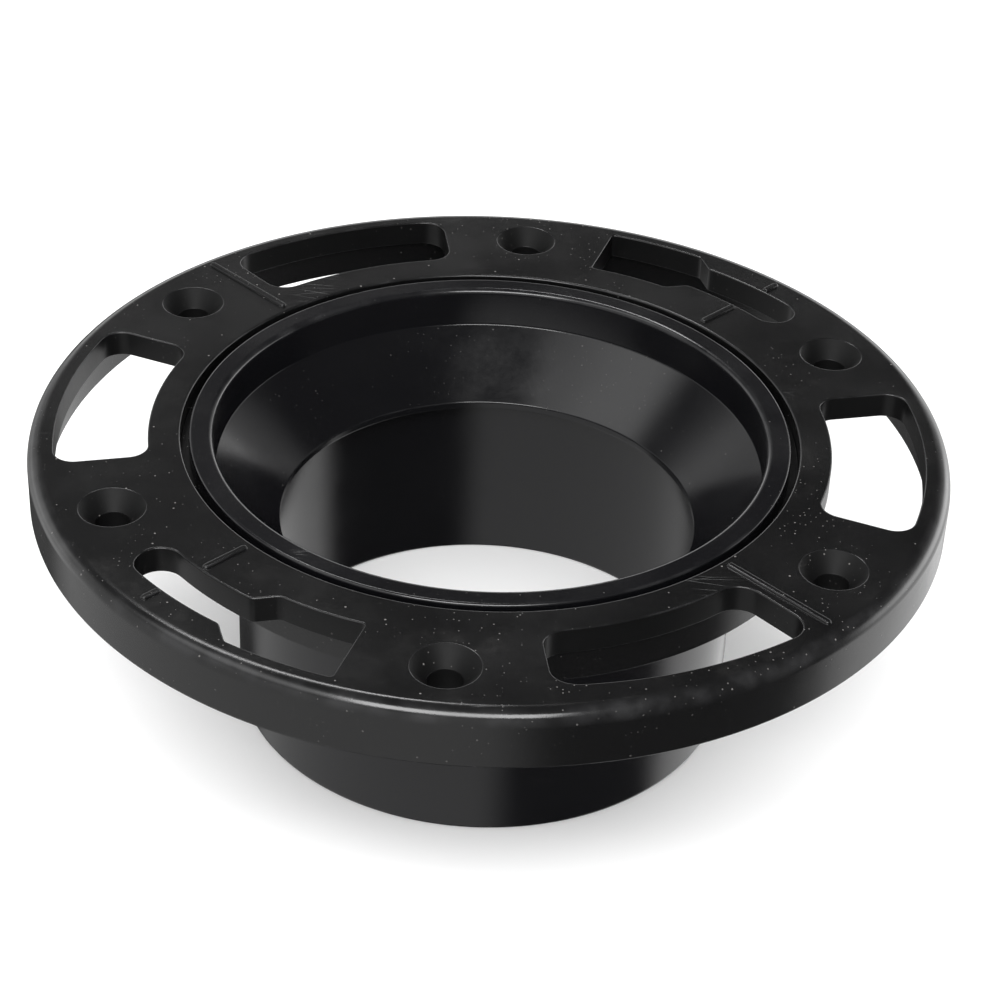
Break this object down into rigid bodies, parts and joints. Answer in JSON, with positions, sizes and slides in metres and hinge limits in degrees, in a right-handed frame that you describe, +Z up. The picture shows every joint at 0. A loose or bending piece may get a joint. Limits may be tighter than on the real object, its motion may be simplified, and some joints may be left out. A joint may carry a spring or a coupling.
{
  "type": "closet flange",
  "caption": "Two-piece toilet floor flange: a bell-mouthed hub with a pipe socket, and a slotted ring that swivels on it.",
  "frame": {"origin": "centre of the hub's lower end, on the plane it stands on", "axes": "+Z up along the drain's axis, towards the toilet; the ring's bolt line is turned 45.5 degrees from +X at rest"},
  "size_m": [0.1778, 0.1778, 0.0603],
  "materials": {
    "hub_plastic": "satin black moulded ABS, polished on the bell mouth and socket",
    "ring_plastic": "satin black moulded ABS, fine moulding texture with handling dust"
  },
  "bodies": {
    "hub": {"hub": "hub_plastic"},
    "ring": {"swivel_ring": "ring_plastic"}
  },
  "joints": [
    {"name": "ring_swivel", "type": "hinge", "parent": "hub", "child": "ring", "pos_m": [0, 0, 0.055], "axis": [0, 0, 1], "continuous": true}
  ]
}
